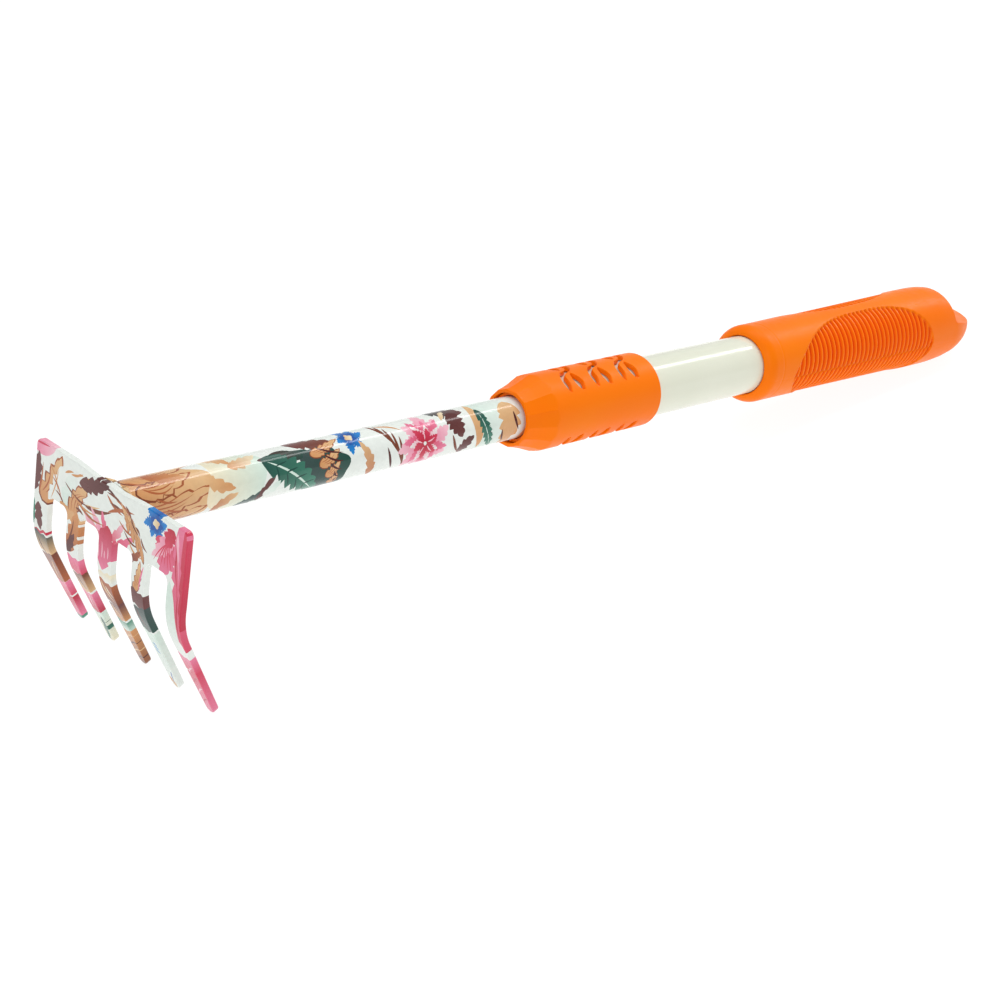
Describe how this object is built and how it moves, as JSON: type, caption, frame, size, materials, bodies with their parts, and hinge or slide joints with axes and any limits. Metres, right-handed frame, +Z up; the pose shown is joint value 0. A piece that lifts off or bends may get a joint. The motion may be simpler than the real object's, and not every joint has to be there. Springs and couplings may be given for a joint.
{
  "type": "telescopic hand cultivator",
  "caption": "Hand cultivator with a flat steel head of bent tines on a telescopic shaft, a twist-lock collar and a ribbed plastic grip with a hanging tab.",
  "frame": {"origin": "on the ground, under the middle of the tool's footprint, with the tool resting on its tine tips and the end of its grip", "axes": "+X runs from the head towards the grip, with the shaft sloping down along it by 5.56 degrees; +Y runs across the head; +Z is up"},
  "size_m": [0.5004, 0.0816, 0.072],
  "materials": {
    "floral_print": "glossy lacquer over an all-over printed pattern of leaves and blossoms",
    "cream_lacquer": "glossy cream lacquer",
    "orange_plastic": "semi-gloss moulded orange plastic",
    "natural_nylon": "plain moulded nylon",
    "bare_steel": "bare drawn steel wire"
  },
  "bodies": {
    "handle": {"outer_tube": "cream_lacquer", "lock_collet": "orange_plastic", "collet_pin_near": "bare_steel", "collet_pin_far": "bare_steel", "grip": "orange_plastic"},
    "collar": {"lock_collar": "orange_plastic"},
    "slider": {"tail_bush": "natural_nylon"},
    "rake": {"inner_tube": "floral_print", "weld_bead": "floral_print", "rake_head": "floral_print", "tail_plug": "natural_nylon"}
  },
  "joints": [
    {"name": "lock_twist", "type": "hinge", "parent": "handle", "child": "collar", "pos_m": [-0.03137, 0, 0.04192], "axis": [0.9953, 0, -0.0969], "range_deg": [0, 90]},
    {"name": "telescope", "type": "slide", "parent": "handle", "child": "slider", "axis": [-0.9953, 0, 0.0969], "range_m": [0, 0.2]},
    {"name": "head_spin", "type": "hinge", "parent": "slider", "child": "rake", "pos_m": [0.17485, 0, 0.02183], "axis": [0.9953, 0, -0.0969], "continuous": true}
  ]
}
